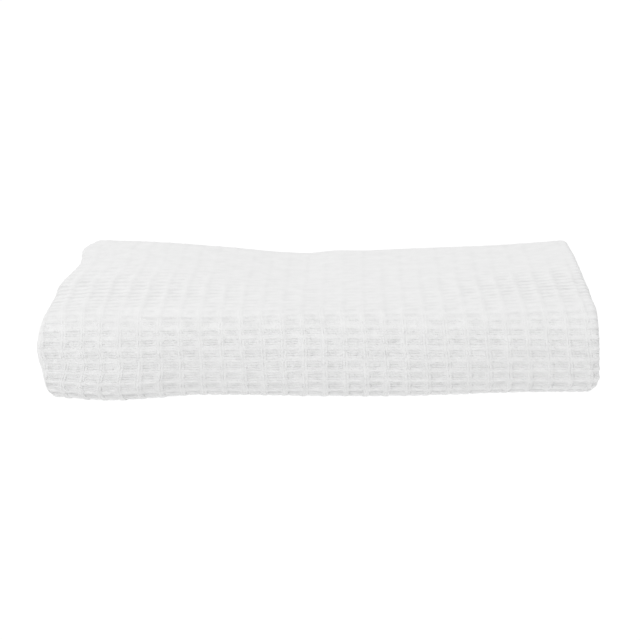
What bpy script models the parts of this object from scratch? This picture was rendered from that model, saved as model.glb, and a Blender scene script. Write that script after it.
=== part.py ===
"""A white waffle-weave sauna towel, folded for the shelf, as one solid sheet of cloth.

The flat cloth is a grid at its cut size. It is given its thickness, and then every point is
carried into the folded bundle: both long sides are turned in to meet near the middle, and the
doubled strip is folded in half three times. The last fold lies at the front.

Metres, +Z up, +X along the front fold, +Y from the front fold to the back. The origin is at the
middle of the bundle's foot.
"""

import math
from collections import namedtuple

import bmesh
import bpy
import numpy as np

# The cloth as cut, and the air between neighbouring layers
CLOTH_WIDTH = 0.700
CLOTH_LENGTH = 1.400
SHEET = 0.0030
GAP = 0.0005

# The long sides are turned in: the air where they meet, and how far that is from the middle
SIDES_APART = 0.006
SIDES_MEET_AT = -0.0066

# A double layer is the middle panel with the turned-in sides under it
PITCH = 2 * (SHEET + GAP)
SIDE_RADIUS = (SHEET + GAP) / 2
PANEL_WIDTH = (CLOTH_WIDTH + SIDES_APART) / 2 - math.pi * SIDE_RADIUS
PANEL_MIDDLE = SIDES_MEET_AT / 2
HALF_BUNDLE = PANEL_WIDTH / 2

# The level of each run of the doubled strip, counted up from the shelf, from one hem to the other
RUN_LEVELS = (0, 7, 4, 3, 2, 5, 6, 1)
FOOT = SIDE_RADIUS + SHEET / 2
MIDDLE_HEIGHT = FOOT + PITCH * (len(RUN_LEVELS) - 1) / 2

# How far short of the back each turn's middle, or each hem, stops, by the run that leads to it
BackEnd = namedtuple("BackEnd", "run short_by")
BACK_ENDS = (
    BackEnd(run=0, short_by=0.004),
    BackEnd(run=1, short_by=2 * PITCH),
    BackEnd(run=3, short_by=PITCH + 0.005),
    BackEnd(run=5, short_by=2 * PITCH),
    BackEnd(run=7, short_by=0.009),
)

# How square the front fold is above and below its middle, where 2 is round, and its reach
FRONT_SQUARENESS_TOP = 2.1
FRONT_SQUARENESS_BOTTOM = 2.6
FRONT_REACH = 0.82

# The bundle's height over its stacked height, along the front edge and along the back
Height = namedtuple("Height", "x front back")
HEIGHTS = (
    Height(x=-0.178, front=0.980, back=1.130),
    Height(x=-0.125, front=1.010, back=1.070),
    Height(x=-0.070, front=1.010, back=0.990),
    Height(x=-0.022, front=1.000, back=0.925),
    Height(x=-0.008, front=0.995, back=0.905),
    Height(x=0.002, front=0.985, back=0.935),
    Height(x=0.030, front=0.985, back=0.945),
    Height(x=0.070, front=0.990, back=0.958),
    Height(x=0.125, front=1.010, back=0.990),
    Height(x=0.178, front=1.020, back=1.060),
)
FRONT_TO_BACK = 0.110

# How far further forward the front fold stands, at its foot and at its top
Forward = namedtuple("Forward", "x foot top")
FORWARDS = (
    Forward(x=-0.178, foot=0.0016, top=0.0011),
    Forward(x=-0.140, foot=0.0096, top=-0.0005),
    Forward(x=-0.080, foot=0.0010, top=-0.0004),
    Forward(x=0.000, foot=0.0047, top=0.0013),
    Forward(x=0.060, foot=0.0056, top=0.0004),
    Forward(x=0.120, foot=0.0005, top=-0.0005),
    Forward(x=0.178, foot=-0.0001, top=-0.0023),
)

# How far each end stands in from its widest place, by height and by depth
EndByHeight = namedtuple("EndByHeight", "z left right")
ENDS_BY_HEIGHT = (
    EndByHeight(z=0.000, left=0.0074, right=0.0068),
    EndByHeight(z=0.012, left=0.0029, right=0.0011),
    EndByHeight(z=0.018, left=0.0010, right=0.0001),
    EndByHeight(z=0.034, left=-0.0016, right=0.0006),
    EndByHeight(z=0.056, left=0.0019, right=0.0014),
)
EndByDepth = namedtuple("EndByDepth", "y left right")
ENDS_BY_DEPTH = (
    EndByDepth(y=-0.020, left=-0.0018, right=0.0000),
    EndByDepth(y=0.000, left=0.0000, right=0.0000),
    EndByDepth(y=0.018, left=0.0008, right=-0.0003),
    EndByDepth(y=0.036, left=0.0020, right=-0.0007),
    EndByDepth(y=0.053, left=0.0018, right=-0.0003),
    EndByDepth(y=0.072, left=0.0060, right=0.0000),
    EndByDepth(y=0.090, left=0.0095, right=0.0004),
    EndByDepth(y=0.108, left=0.0094, right=0.0006),
    EndByDepth(y=0.127, left=0.0075, right=0.0016),
    EndByDepth(y=0.147, left=0.0148, right=0.0026),
)

# The back lies this far to the right of the front
BACK_DRIFT = 0.0025

# How far each run of the strip has slipped to the right, from one hem to the other
RUN_SLIPS = (0.0008, -0.0004, 0.0011, -0.0012, 0.0006, 0.0013, -0.0010, 0.0005)

# Where the middle panel is divided, from its middle, and how finely everything else is
PANEL_LINES = (-0.140, -0.110, -0.078, -0.046, -0.018, -0.0075, 0.003, 0.0135, 0.046, 0.078, 0.110, 0.140)
FACES_ACROSS_SIDE = 3
FACES_ROUND_SIDE = 3
FACES_ALONG_RUN = 5
FACES_ROUND_FRONT = 12
FACES_ROUND_BACK = 5

CLOTH_COLOUR = (0.86, 0.86, 0.85, 1.0)
CLOTH_ROUGHNESS = 0.95

# One run or one turn of the doubled strip: where it starts along the strip, its length, the depth
# and height of its start or of its middle, its heading (1 to the back, -1 to the front), and for a
# turn its radius and whether it climbs (1) or drops (-1)
Piece = namedtuple("Piece", "start length y z heading radius climbs faces")


def curve_through(at, stations, values):
    """A smooth curve through the values at the stations, read at each of the given places."""
    stations = np.asarray(stations, float)
    values = np.asarray(values, float)
    slopes = np.gradient(values, stations)
    at = np.clip(at, stations[0], stations[-1])
    i = np.clip(np.searchsorted(stations, at) - 1, 0, len(stations) - 2)
    width = stations[i + 1] - stations[i]
    t = (at - stations[i]) / width
    from_start = (1 + 2 * t) * (1 - t) ** 2 * values[i] + t * (1 - t) ** 2 * width * slopes[i]
    to_end = t**2 * (3 - 2 * t) * values[i + 1] - t**2 * (1 - t) * width * slopes[i + 1]
    return from_start + to_end


def eased(t):
    """0 to 1 with a soft start and a soft end."""
    t = np.clip(t, 0.0, 1.0)
    return t * t * (3 - 2 * t)


def level_height(level):
    return FOOT + PITCH * level


def steps_up(run):
    """How many levels the strip climbs from this run to the next."""
    return RUN_LEVELS[run + 1] - RUN_LEVELS[run]


def short_of_back(run):
    """How far short of the back this run starts or stops: two runs share each turn."""
    short_by = {end.run: end.short_by for end in BACK_ENDS}
    return short_by[run] if run in short_by else short_by[run - 1]


def back_depth():
    """How far behind the front turns' middle the back lies, so that the whole cloth is used up."""
    runs = range(len(RUN_LEVELS))
    turns = sum(math.pi * PITCH / 2 * abs(steps_up(run)) for run in runs[:-1])
    return (CLOTH_LENGTH - turns + sum(short_of_back(run) for run in runs)) / len(RUN_LEVELS)


def strip_pieces():
    """The doubled strip's runs and turns in order, from the hem at the foot to the inner hem."""
    pieces = []
    start = 0.0
    for run, level in enumerate(RUN_LEVELS):
        to_back = run % 2 == 1
        heading = 1 if to_back else -1
        length = back_depth() - short_of_back(run)
        z = level_height(level)
        pieces.append(Piece(start, length, 0.0 if to_back else length, z, heading, 0.0, 0, FACES_ALONG_RUN))
        start += length
        if run == len(RUN_LEVELS) - 1:
            break
        radius = PITCH / 2 * abs(steps_up(run))
        climbs = 1 if steps_up(run) > 0 else -1
        y = length if to_back else 0.0
        faces = FACES_ROUND_BACK if to_back else FACES_ROUND_FRONT
        half_round = math.pi * radius
        pieces.append(Piece(start, half_round, y, z + climbs * radius, heading, radius, climbs, faces))
        start += half_round
    return pieces


def along_strip(s):
    """The doubled strip's middle line at s from the first hem: (y, z) and its outward normal."""
    y, z, normal_y, normal_z = (np.zeros_like(s) for _ in range(4))
    for piece in strip_pieces():
        here = s >= piece.start - 1e-9
        along = s[here] - piece.start
        if piece.radius:
            angle = along / piece.radius
            y[here] = piece.y + piece.heading * piece.radius * np.sin(angle)
            z[here] = piece.z - piece.climbs * piece.radius * np.cos(angle)
            normal_y[here] = -piece.climbs * np.sin(angle)
            normal_z[here] = piece.heading * np.cos(angle)
        else:
            y[here] = piece.y + piece.heading * along
            z[here] = piece.z
            normal_y[here] = 0.0
            normal_z[here] = piece.heading
    return y, z, normal_y, normal_z


def sides_turned_in(u, h):
    """Across the cloth at u, h above its middle: x, and the distance out from the double layer's middle."""
    from_panel = np.abs(u - PANEL_MIDDLE) - PANEL_WIDTH / 2
    side = np.sign(u - PANEL_MIDDLE)
    angle = np.clip(from_panel / SIDE_RADIUS, 0.0, math.pi)
    returned = np.maximum(from_panel - math.pi * SIDE_RADIUS, 0.0)
    reach = PANEL_WIDTH / 2 + np.minimum(from_panel, 0.0) - returned
    x = side * (reach + (SIDE_RADIUS + h) * np.sin(angle))
    return x, (SIDE_RADIUS + h) * np.cos(angle)


def squared_front(y, z):
    """The round front turns made fuller: each point moves out along its ray from their middle."""
    ahead = np.maximum(-y, 0.0)
    up = z - MIDDLE_HEIGHT
    far = np.maximum(np.hypot(ahead, up), 1e-9)
    power = np.where(up > 0, FRONT_SQUARENESS_TOP, FRONT_SQUARENESS_BOTTOM)
    spread = ((ahead / far) ** power + (np.abs(up) / far) ** power) ** (-1 / power)
    spread = np.where(y < 0, spread, 1.0)
    return np.where(y < 0, y * spread * FRONT_REACH, y), MIDDLE_HEIGHT + up * spread


def listed(table, name):
    """One named column of a table."""
    return [getattr(row, name) for row in table]


def height_scale(x, share_of_back):
    front = curve_through(x, listed(HEIGHTS, "x"), listed(HEIGHTS, "front"))
    back = curve_through(x, listed(HEIGHTS, "x"), listed(HEIGHTS, "back"))
    return front + (back - front) * share_of_back


def end_inset(x, y, z):
    """How far the nearer end stands in at this height and this depth."""
    insets = []
    for side in ("left", "right"):
        by_height = curve_through(z, listed(ENDS_BY_HEIGHT, "z"), listed(ENDS_BY_HEIGHT, side))
        by_depth = curve_through(y, listed(ENDS_BY_DEPTH, "y"), listed(ENDS_BY_DEPTH, side))
        insets.append(by_height + by_depth)
    return np.where(x < 0, insets[0], insets[1])


def forward(x, z):
    """How much further forward the front fold stands here, between its foot and its top."""
    foot = curve_through(x, listed(FORWARDS, "x"), listed(FORWARDS, "foot"))
    top = curve_through(x, listed(FORWARDS, "x"), listed(FORWARDS, "top"))
    return foot + (top - foot) * eased(z / (2 * MIDDLE_HEIGHT))


def settled(x, y, z):
    """The stacked bundle as it lies: its height, its front and its ends made uneven."""
    share = eased(y / FRONT_TO_BACK)
    z = z * height_scale(x, share)
    toward_end = np.minimum(np.abs(x) / HALF_BUNDLE, 1.0)
    x_in = x * (1 - end_inset(x, y, z) / HALF_BUNDLE * toward_end)
    x_out = x_in + BACK_DRIFT * eased(y / back_depth())
    return x_out, y - forward(x, z) * (1 - share), z


def slip(s):
    """How far to the right the doubled strip has slipped here."""
    runs = [piece for piece in strip_pieces() if not piece.radius]
    return curve_through(s, [run.start + run.length / 2 for run in runs], RUN_SLIPS)


def folded(u, s, h):
    """Where a point of the flat cloth lies in the bundle: u across it, s along it, h out of it."""
    x, out = sides_turned_in(u, h)
    x = x + slip(s)
    y, z, normal_y, normal_z = along_strip(s)
    y, z = squared_front(y + out * normal_y, z + out * normal_z)
    return settled(x, y, z)


def lines_across():
    """Where the flat cloth is divided across: a side, its fold, the panel, a fold and a side."""
    round_side = math.pi * SIDE_RADIUS
    panel = PANEL_MIDDLE + np.array([-PANEL_WIDTH / 2, *PANEL_LINES, PANEL_WIDTH / 2])
    left_fold = np.linspace(panel[0] - round_side, panel[0], FACES_ROUND_SIDE + 1)
    right_fold = np.linspace(panel[-1], panel[-1] + round_side, FACES_ROUND_SIDE + 1)
    left_side = np.linspace(-CLOTH_WIDTH / 2, left_fold[0], FACES_ACROSS_SIDE + 1)
    right_side = np.linspace(right_fold[-1], CLOTH_WIDTH / 2, FACES_ACROSS_SIDE + 1)
    return joined([left_side, left_fold, panel, right_fold, right_side])


def lines_along():
    """Where the flat cloth is divided along: evenly in every run and round every turn."""
    return joined(
        [np.linspace(p.start, p.start + p.length, p.faces + 1) for p in strip_pieces()]
    )


def joined(stretches):
    """Stretches laid end to end, with each shared end kept once."""
    return np.concatenate([stretch[:-1] for stretch in stretches] + [stretches[-1][-1:]])


def flat_cloth():
    """The cloth as cut, lying flat, as a closed slab: a grid with lines where the folds need them."""
    across = lines_across()
    along = lines_along()
    columns = len(across) - 1
    rows = len(along) - 1
    bm = bmesh.new()
    bmesh.ops.create_grid(bm, x_segments=columns, y_segments=rows, size=0.5)
    for vertex in bm.verts:
        u = across[round((vertex.co.x + 0.5) * columns)]
        s = along[round((vertex.co.y + 0.5) * rows)]
        vertex.co = (u, s, SHEET / 2)
    bmesh.ops.solidify(bm, geom=bm.faces[:], thickness=SHEET)
    return bm


def cloth_material():
    material = bpy.data.materials.new("waffle_cotton")
    material.use_nodes = True
    shader = material.node_tree.nodes["Principled BSDF"]
    shader.inputs["Base Color"].default_value = CLOTH_COLOUR
    shader.inputs["Roughness"].default_value = CLOTH_ROUGHNESS
    shader.inputs["Metallic"].default_value = 0.0
    return material


def make_towel(collection):
    bm = flat_cloth()
    flat = np.array([vertex.co for vertex in bm.verts])
    x, y, z = folded(flat[:, 0], flat[:, 1], flat[:, 2])
    x -= (x.min() + x.max()) / 2
    y -= (y.min() + y.max()) / 2
    z -= z.min()
    for vertex, place in zip(bm.verts, zip(x, y, z)):
        vertex.co = place
    mesh = bpy.data.meshes.new("towel")
    bm.to_mesh(mesh)
    bm.free()
    mesh.materials.append(cloth_material())
    mesh.shade_smooth()
    collection.objects.link(bpy.data.objects.new("towel", mesh))


def main():
    for obj in list(bpy.data.objects):
        bpy.data.objects.remove(obj)
    collection = bpy.data.collections.new("sauna_towel")
    bpy.context.scene.collection.children.link(collection)
    make_towel(collection)


main()
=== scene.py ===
# %% [markdown]
# # A folded waffle-weave sauna towel
#
# The real thing is one length of white cotton, 70 by 140 cm, woven in a waffle: raised ribs and
# ridges round small sunken cells. Its two long sides are turned in to meet in the middle, and the
# strip is folded in half three times, so it lies on the shelf as a bundle of sixteen sheets with
# the last fold at the front.
#
# A folded towel could be a box with a picture of cloth on it, but its ends and its back would then
# be wrong. It could be dropped and folded by a cloth simulation, which is slow and hard to steer.
# Here the cloth is made flat, woven flat, and then every one of its points is carried into the
# bundle by the same sums that shaped the plain solid, so the weave follows each fold.
#
# First the plain solid is loaded. Everything is measured in metres in its frame: +Z is up, +X runs
# along the front fold, and +Y runs from the front fold to the back.

# %% Load the plain towel
import math
from collections import namedtuple

import bmesh
import bpy
import numpy as np
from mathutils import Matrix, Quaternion, Vector


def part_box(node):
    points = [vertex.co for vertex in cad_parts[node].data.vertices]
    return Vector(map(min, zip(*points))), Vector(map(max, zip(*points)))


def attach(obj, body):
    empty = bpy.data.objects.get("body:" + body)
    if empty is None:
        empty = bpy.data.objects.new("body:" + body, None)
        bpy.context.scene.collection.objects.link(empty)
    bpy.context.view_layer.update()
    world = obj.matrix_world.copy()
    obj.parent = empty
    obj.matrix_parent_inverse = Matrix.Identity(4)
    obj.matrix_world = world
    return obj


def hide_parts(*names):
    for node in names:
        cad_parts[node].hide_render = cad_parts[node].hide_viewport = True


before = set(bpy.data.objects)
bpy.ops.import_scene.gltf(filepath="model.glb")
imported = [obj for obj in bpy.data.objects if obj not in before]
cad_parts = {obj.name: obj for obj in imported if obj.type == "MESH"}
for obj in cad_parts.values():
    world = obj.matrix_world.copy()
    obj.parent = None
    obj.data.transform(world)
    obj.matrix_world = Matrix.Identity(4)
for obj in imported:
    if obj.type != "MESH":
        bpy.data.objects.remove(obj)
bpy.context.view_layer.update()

# %% [markdown]
# ## The camera
#
# The towel is seen square to its front fold, from a little above. The way its ends draw together
# towards the back says how far away the camera stands, and the depth of its top says how high. A
# long lens from 1.3 m gives both. The picture is level but for a quarter of a degree.

# %% Set the camera
CAMERA_DISTANCE = 1.327
CAMERA_AZIMUTH = math.radians(0.44)
CAMERA_ELEVATION = math.radians(17.57)
CAMERA_ROLL = math.radians(-0.28)
SENSOR_WIDTH = 36.0
PICTURE_WIDTH = 640
FOCAL_PIXELS = 1974
TOWEL_MIDDLE = Vector((0.0, 0.0, 0.028))
AIM = Vector((0.0003, 0.0, 0.0270))


def make_camera():
    data = bpy.data.cameras.new("camera")
    data.lens = FOCAL_PIXELS / PICTURE_WIDTH * SENSOR_WIDTH
    data.sensor_width = SENSOR_WIDTH
    camera = bpy.data.objects.new("camera", data)
    bpy.context.scene.collection.objects.link(camera)
    back = Vector(
        (
            -math.sin(CAMERA_AZIMUTH) * math.cos(CAMERA_ELEVATION),
            -math.cos(CAMERA_AZIMUTH) * math.cos(CAMERA_ELEVATION),
            math.sin(CAMERA_ELEVATION),
        )
    )
    camera.location = TOWEL_MIDDLE + CAMERA_DISTANCE * back
    camera.rotation_mode = "QUATERNION"
    look = (AIM - camera.location).to_track_quat("-Z", "Y")
    camera.rotation_quaternion = look @ Quaternion((0, 0, 1), CAMERA_ROLL)
    bpy.context.scene.camera = camera
    print("lens, mm:", round(data.lens, 1), "at", [round(v, 3) for v in camera.location])


make_camera()

# %% [markdown]
# ## The sizes of the fold
#
# A double layer is the middle panel with the turned-in sides under it, and the doubled strip runs
# to the front and to the back by turns, on the levels listed below. Three short tables make the
# bundle as uneven as the real one: its height, how far forward its front fold stands, and how far
# its two ends stand in.
#
# These are the plain solid's own sizes, but for a few trims. The foot is a little squarer, and the
# ends and the back of the top are moved by about two millimetres at most, to follow the outline.

# %% Sizes and tables of the fold
CLOTH_WIDTH = 0.700
CLOTH_LENGTH = 1.400
SHEET = 0.0030
GAP = 0.0005

SIDES_APART = 0.006
SIDES_MEET_AT = -0.0066

PITCH = 2 * (SHEET + GAP)                # from one double layer to the next
SIDE_RADIUS = (SHEET + GAP) / 2
PANEL_WIDTH = (CLOTH_WIDTH + SIDES_APART) / 2 - math.pi * SIDE_RADIUS
PANEL_MIDDLE = SIDES_MEET_AT / 2
HALF_BUNDLE = PANEL_WIDTH / 2

RUN_LEVELS = (0, 7, 4, 3, 2, 5, 6, 1)
FOOT = SIDE_RADIUS + SHEET / 2
MIDDLE_HEIGHT = FOOT + PITCH * (len(RUN_LEVELS) - 1) / 2

# How far short of the back each turn's middle, or each hem, stops
SHORT_OF_BACK = {0: 0.004, 1: 2 * PITCH, 3: PITCH + 0.005, 5: 2 * PITCH, 7: 0.009}

FRONT_SQUARENESS_TOP = 2.1
FRONT_SQUARENESS_BOTTOM = 3.0
FRONT_REACH = 0.82

Height = namedtuple("Height", "x front back")
HEIGHTS = (
    Height(x=-0.178, front=0.980, back=1.096),
    Height(x=-0.125, front=1.010, back=1.062),
    Height(x=-0.070, front=1.010, back=0.990),
    Height(x=-0.022, front=1.000, back=0.912),
    Height(x=-0.008, front=0.995, back=0.905),
    Height(x=0.002, front=0.985, back=0.928),
    Height(x=0.030, front=0.985, back=0.932),
    Height(x=0.070, front=0.990, back=0.958),
    Height(x=0.125, front=1.010, back=0.990),
    Height(x=0.178, front=1.020, back=1.052),
)
FRONT_TO_BACK = 0.110

Forward = namedtuple("Forward", "x foot top")
FORWARDS = (
    Forward(x=-0.178, foot=0.0016, top=0.0011),
    Forward(x=-0.140, foot=0.0096, top=-0.0005),
    Forward(x=-0.080, foot=0.0010, top=-0.0004),
    Forward(x=0.000, foot=0.0047, top=0.0013),
    Forward(x=0.060, foot=0.0056, top=0.0004),
    Forward(x=0.120, foot=0.0005, top=-0.0005),
    Forward(x=0.178, foot=-0.0001, top=-0.0023),
)

EndByHeight = namedtuple("EndByHeight", "z left right")
ENDS_BY_HEIGHT = (
    EndByHeight(z=0.000, left=0.0064, right=0.0048),
    EndByHeight(z=0.012, left=0.0036, right=0.0008),
    EndByHeight(z=0.018, left=0.0030, right=0.0010),
    EndByHeight(z=0.034, left=-0.0002, right=0.0014),
    EndByHeight(z=0.056, left=0.0022, right=0.0018),
)
EndByDepth = namedtuple("EndByDepth", "y left right")
ENDS_BY_DEPTH = (
    EndByDepth(y=-0.020, left=-0.0018, right=0.0000),
    EndByDepth(y=0.000, left=0.0000, right=0.0000),
    EndByDepth(y=0.018, left=0.0008, right=-0.0003),
    EndByDepth(y=0.036, left=0.0020, right=-0.0007),
    EndByDepth(y=0.053, left=0.0018, right=-0.0003),
    EndByDepth(y=0.072, left=0.0060, right=0.0000),
    EndByDepth(y=0.090, left=0.0095, right=0.0004),
    EndByDepth(y=0.108, left=0.0094, right=0.0006),
    EndByDepth(y=0.127, left=0.0075, right=0.0016),
    EndByDepth(y=0.147, left=0.0148, right=0.0026),
)
BACK_DRIFT = 0.0025
RUN_SLIPS = (0.0008, -0.0004, 0.0011, -0.0012, 0.0006, 0.0013, -0.0010, 0.0005)
print("a double layer is", round(1000 * PITCH, 1), "mm, and there are", len(RUN_LEVELS))

# %% [markdown]
# ## The folding sums
#
# A point of the flat cloth is named by u, across it, s, along it, and h, how far out of its middle
# it lies. It is carried in four steps. The side folds give x and its distance out from the double
# layer's middle. The strip's line gives y and z. The front turns are made fuller than round. Last
# the bundle settles, uneven as it lies. Each step is a plain formula, so a fine mesh and a coarse
# one fold alike.

# %% Curves through the tables
def curve_through(at, stations, values):
    """A smooth curve through the values at the stations, read at each of the given places."""
    stations = np.asarray(stations, float)
    values = np.asarray(values, float)
    slopes = np.gradient(values, stations)
    at = np.clip(at, stations[0], stations[-1])
    i = np.clip(np.searchsorted(stations, at) - 1, 0, len(stations) - 2)
    width = stations[i + 1] - stations[i]
    t = (at - stations[i]) / width
    from_start = (1 + 2 * t) * (1 - t) ** 2 * values[i] + t * (1 - t) ** 2 * width * slopes[i]
    to_end = t**2 * (3 - 2 * t) * values[i + 1] - t**2 * (1 - t) * width * slopes[i + 1]
    return from_start + to_end


def listed(table, name):
    """One named column of a table."""
    return [getattr(row, name) for row in table]


def eased(t):
    """0 to 1 with a soft start and a soft end."""
    t = np.clip(t, 0.0, 1.0)
    return t * t * (3 - 2 * t)


# %% The strip's line
Piece = namedtuple("Piece", "start length y z heading radius climbs")


def short_of_back(run):
    return SHORT_OF_BACK[run] if run in SHORT_OF_BACK else SHORT_OF_BACK[run - 1]


def back_depth():
    """How far behind the front turns' middle the back lies, so that the whole cloth is used up."""
    turns = math.pi * PITCH / 2 * sum(abs(b - a) for a, b in zip(RUN_LEVELS, RUN_LEVELS[1:]))
    short = sum(short_of_back(run) for run in range(len(RUN_LEVELS)))
    return (CLOTH_LENGTH - turns + short) / len(RUN_LEVELS)


def strip_pieces():
    """The doubled strip's runs and turns in order, from the hem at the foot to the inner hem."""
    pieces = []
    start = 0.0
    for run, level in enumerate(RUN_LEVELS):
        to_back = run % 2 == 1
        heading = 1 if to_back else -1
        length = back_depth() - short_of_back(run)
        z = FOOT + PITCH * level
        pieces.append(Piece(start, length, 0.0 if to_back else length, z, heading, 0.0, 0))
        start += length
        if run == len(RUN_LEVELS) - 1:
            break
        steps = RUN_LEVELS[run + 1] - level
        radius = PITCH / 2 * abs(steps)
        climbs = 1 if steps > 0 else -1
        y = length if to_back else 0.0
        pieces.append(Piece(start, math.pi * radius, y, z + climbs * radius, heading, radius, climbs))
        start += math.pi * radius
    return pieces


TINY = 1e-9
STRIP = strip_pieces()
RUNS = [piece for piece in STRIP if not piece.radius]
TURNS = [piece for piece in STRIP if piece.radius]
BACK = back_depth()


def along_strip(s):
    """The doubled strip's middle line at s from the first hem: (y, z) and its outward normal."""
    y, z, normal_y, normal_z = (np.zeros_like(s) for _ in range(4))
    for piece in STRIP:
        here = s >= piece.start - TINY
        along = s[here] - piece.start
        if piece.radius:
            angle = along / piece.radius
            y[here] = piece.y + piece.heading * piece.radius * np.sin(angle)
            z[here] = piece.z - piece.climbs * piece.radius * np.cos(angle)
            normal_y[here] = -piece.climbs * np.sin(angle)
            normal_z[here] = piece.heading * np.cos(angle)
        else:
            y[here] = piece.y + piece.heading * along
            z[here] = piece.z
            normal_y[here] = 0.0
            normal_z[here] = piece.heading
    return y, z, normal_y, normal_z


print("the back lies", round(1000 * BACK, 1), "mm behind the front turns' middle")


# %% The side folds, the fuller front and the settling
def sides_turned_in(u, h):
    """Across the cloth at u, h out of its middle: x, and the distance out from the double layer."""
    from_panel = np.abs(u - PANEL_MIDDLE) - PANEL_WIDTH / 2
    side = np.sign(u - PANEL_MIDDLE)
    angle = np.clip(from_panel / SIDE_RADIUS, 0.0, math.pi)
    returned = np.maximum(from_panel - math.pi * SIDE_RADIUS, 0.0)
    reach = PANEL_WIDTH / 2 + np.minimum(from_panel, 0.0) - returned
    x = side * (reach + (SIDE_RADIUS + h) * np.sin(angle))
    return x, (SIDE_RADIUS + h) * np.cos(angle)


def squared_front(y, z):
    """The round front turns made fuller: each point moves out along its ray from their middle."""
    ahead = np.maximum(-y, 0.0)
    up = z - MIDDLE_HEIGHT
    far = np.maximum(np.hypot(ahead, up), TINY)
    power = np.where(up > 0, FRONT_SQUARENESS_TOP, FRONT_SQUARENESS_BOTTOM)
    spread = ((ahead / far) ** power + (np.abs(up) / far) ** power) ** (-1 / power)
    spread = np.where(y < 0, spread, 1.0)
    return np.where(y < 0, y * spread * FRONT_REACH, y), MIDDLE_HEIGHT + up * spread


def height_scale(x, share_of_back):
    front = curve_through(x, listed(HEIGHTS, "x"), listed(HEIGHTS, "front"))
    back = curve_through(x, listed(HEIGHTS, "x"), listed(HEIGHTS, "back"))
    return front + (back - front) * share_of_back


def end_inset(x, y, z):
    insets = []
    for side in ("left", "right"):
        by_height = curve_through(z, listed(ENDS_BY_HEIGHT, "z"), listed(ENDS_BY_HEIGHT, side))
        by_depth = curve_through(y, listed(ENDS_BY_DEPTH, "y"), listed(ENDS_BY_DEPTH, side))
        insets.append(by_height + by_depth)
    return np.where(x < 0, insets[0], insets[1])


def forward(x, z):
    foot = curve_through(x, listed(FORWARDS, "x"), listed(FORWARDS, "foot"))
    top = curve_through(x, listed(FORWARDS, "x"), listed(FORWARDS, "top"))
    return foot + (top - foot) * eased(z / (2 * MIDDLE_HEIGHT))


def settled(x, y, z):
    share = eased(y / FRONT_TO_BACK)
    z = z * height_scale(x, share)
    toward_end = np.minimum(np.abs(x) / HALF_BUNDLE, 1.0)
    x_in = x * (1 - end_inset(x, y, z) / HALF_BUNDLE * toward_end)
    x_out = x_in + BACK_DRIFT * eased(y / BACK)
    return x_out, y - forward(x, z) * (1 - share), z


def slip(s):
    return curve_through(s, [run.start + run.length / 2 for run in RUNS], RUN_SLIPS)


def folded(u, s, h):
    """Where a point of the flat cloth lies in the bundle."""
    x, out = sides_turned_in(u, h)
    x = x + slip(s)
    y, z, normal_y, normal_z = along_strip(s)
    y, z = squared_front(y + out * normal_y, z + out * normal_z)
    return settled(x, y, z)


# %% [markdown]
# ## Measuring along the outside of a fold
#
# A thick cloth that turns has more length on the outside of the turn than at its middle. The weave
# must keep its size on the outside, because that is the side that shows. So the ribs and ridges
# are set out in the outer face's own measure, and this step makes the two tables that turn that
# measure into the folding sums' u and s.

# %% Tables from the outer face's measure
MEASURING_STEP = 0.0002


def outer_across(u):
    """The outer face's distance from the panel's middle, at u across the cloth."""
    away = np.abs(u - PANEL_MIDDLE)
    round_side = math.pi * SIDE_RADIUS
    in_fold = np.clip(away - PANEL_WIDTH / 2, 0.0, round_side)
    wider = in_fold * (SHEET / 2 / SIDE_RADIUS)
    return np.sign(u - PANEL_MIDDLE) * (away + wider)


def outer_along():
    """A table of s and of the face's length from the first hem, measured where it is the longer."""
    s = np.arange(0.0, CLOTH_LENGTH + MEASURING_STEP, MEASURING_STEP)
    middle = np.full_like(s, PANEL_MIDDLE)
    lengths = []
    for h in (SHEET / 2, 0.0):
        place = np.stack(folded(middle, s, np.full_like(s, h)), axis=1)
        lengths.append(np.linalg.norm(np.diff(place, axis=0), axis=1))
    steps = np.maximum(lengths[0], lengths[1])
    return s, np.concatenate([[0.0], np.cumsum(steps)])


U_TABLE = np.arange(-CLOTH_WIDTH / 2, CLOTH_WIDTH / 2 + MEASURING_STEP, MEASURING_STEP)
ACROSS_TABLE = outer_across(U_TABLE)
S_TABLE, ALONG_TABLE = outer_along()


def u_at(across):
    return np.interp(across, ACROSS_TABLE, U_TABLE)


def s_at(along):
    return np.interp(along, ALONG_TABLE, S_TABLE)


def along_at(s):
    return np.interp(s, S_TABLE, ALONG_TABLE)


print("the outer face is", round(1000 * ALONG_TABLE[-1]), "mm long round its folds")

# %% [markdown]
# ## The waffle
#
# On the loom, long floats of warp stand up as ribs along the cloth, and floats of weft stand up as
# short ridges from rib to rib. The floats are shortest in the middle of each cell, so it sinks
# there. Where a rib meets a ridge the two bind each other down, so those corners are low too, and
# each rib and ridge is highest half way between them.
#
# This could be left to a bump pattern, but the cells are up to three quarters of a millimetre deep
# and show along the top's edge and at the ends, so they are real relief. It is cut into the sheet's
# outer face only. Its floats stand proud of that face by under half a millimetre outside, and by
# much less between the layers, which keeps them clear of each other.

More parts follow.
